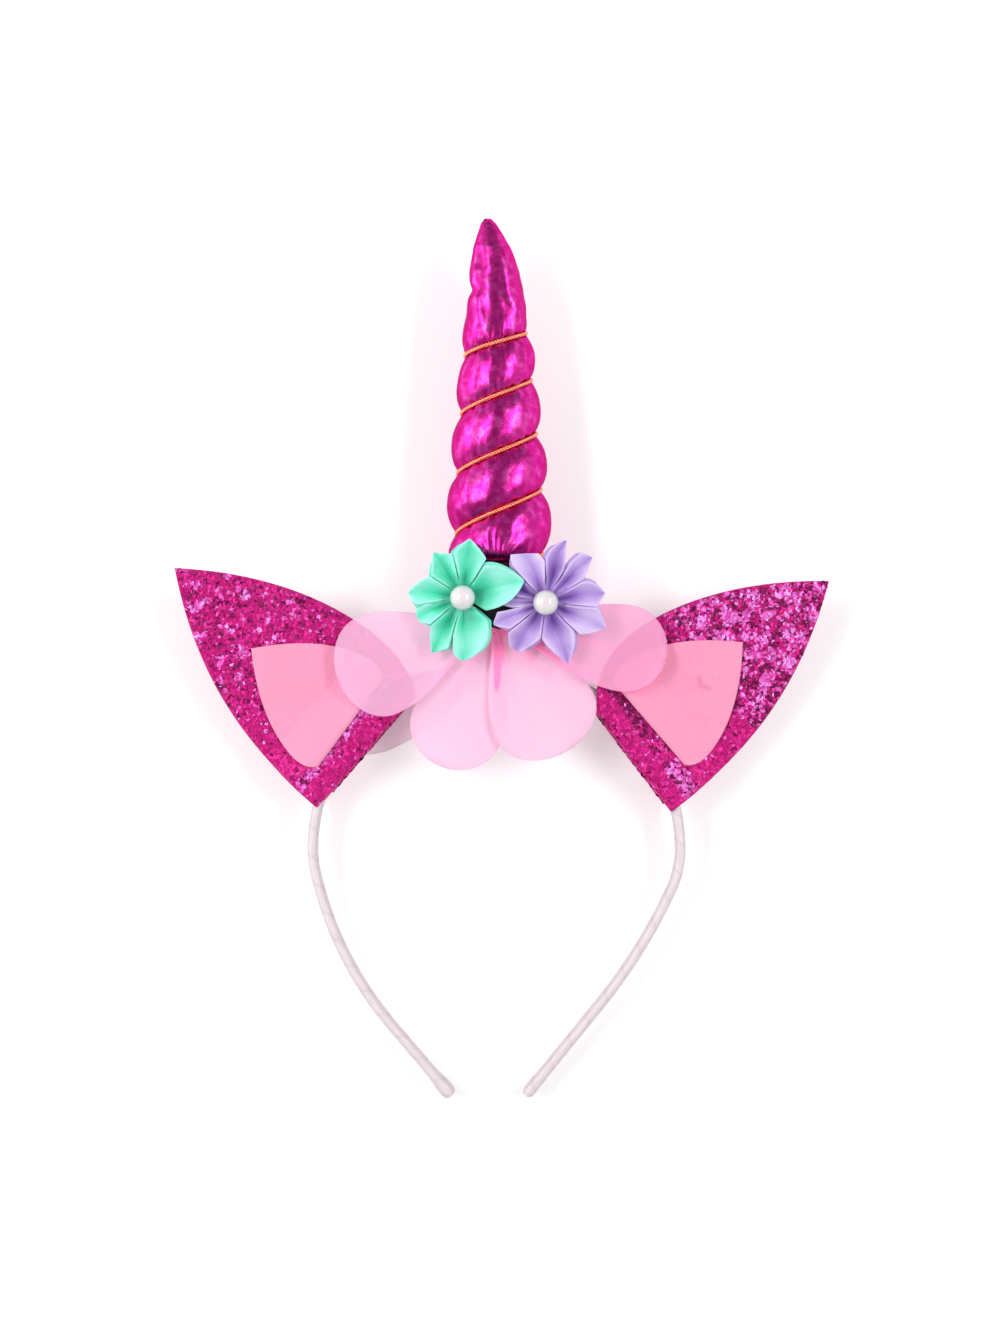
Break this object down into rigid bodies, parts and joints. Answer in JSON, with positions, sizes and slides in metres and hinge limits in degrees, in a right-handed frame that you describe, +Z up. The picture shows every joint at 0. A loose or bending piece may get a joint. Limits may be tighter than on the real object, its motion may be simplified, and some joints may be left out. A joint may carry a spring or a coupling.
{
  "type": "unicorn horn headband",
  "caption": "Costume hoop headband with a stuffed spiral horn, pointed felt ears, ribbon flowers with pearls and chiffon petals.",
  "frame": {"origin": "centre of the bounding box in X and Y, on the surface that the headband rests on", "axes": "+Y from the tips of the band towards the tip of the horn, +Z up through the front of the flowers, +X towards the ear on the right of the picture"},
  "size_m": [0.2154, 0.2894, 0.0384],
  "materials": {
    "ribbon": "pale pink satin ribbon wrapped round a plastic strip",
    "glitter_felt": "magenta glitter on felt",
    "inner_felt": "flat pale pink felt",
    "horn_cloth": "shiny magenta metallic cloth over soft stuffing",
    "gold_cord": "twisted metallic gold cord",
    "black_felt": "flat black felt",
    "chiffon": "sheer pale pink chiffon",
    "pearl": "pearl coated bead",
    "mint_ribbon": "satin ribbon",
    "lilac_ribbon": "satin ribbon"
  },
  "bodies": {
    "root": {"band": "ribbon", "ear_left": "glitter_felt", "ear_left_inner": "inner_felt", "ear_right": "glitter_felt", "ear_right_inner": "inner_felt", "horn": "horn_cloth", "horn_cord": "gold_cord", "base_pad": "black_felt", "petal_centre_left": "chiffon", "petal_centre_right": "chiffon", "petal_left": "chiffon", "petal_right": "chiffon", "petal_back_left": "chiffon", "mint_petal_1": "mint_ribbon", "mint_petal_2": "mint_ribbon", "mint_petal_3": "mint_ribbon", "mint_petal_4": "mint_ribbon", "mint_petal_5": "mint_ribbon", "mint_petal_6": "mint_ribbon", "mint_petal_7": "mint_ribbon", "mint_pearl": "pearl", "lilac_petal_1": "lilac_ribbon", "lilac_petal_2": "lilac_ribbon", "lilac_petal_3": "lilac_ribbon", "lilac_petal_4": "lilac_ribbon", "lilac_petal_5": "lilac_ribbon", "lilac_petal_6": "lilac_ribbon", "lilac_petal_7": "lilac_ribbon", "lilac_petal_8": "lilac_ribbon", "lilac_petal_9": "lilac_ribbon", "lilac_petal_10": "lilac_ribbon", "lilac_pearl": "pearl"}
  },
  "joints": []
}
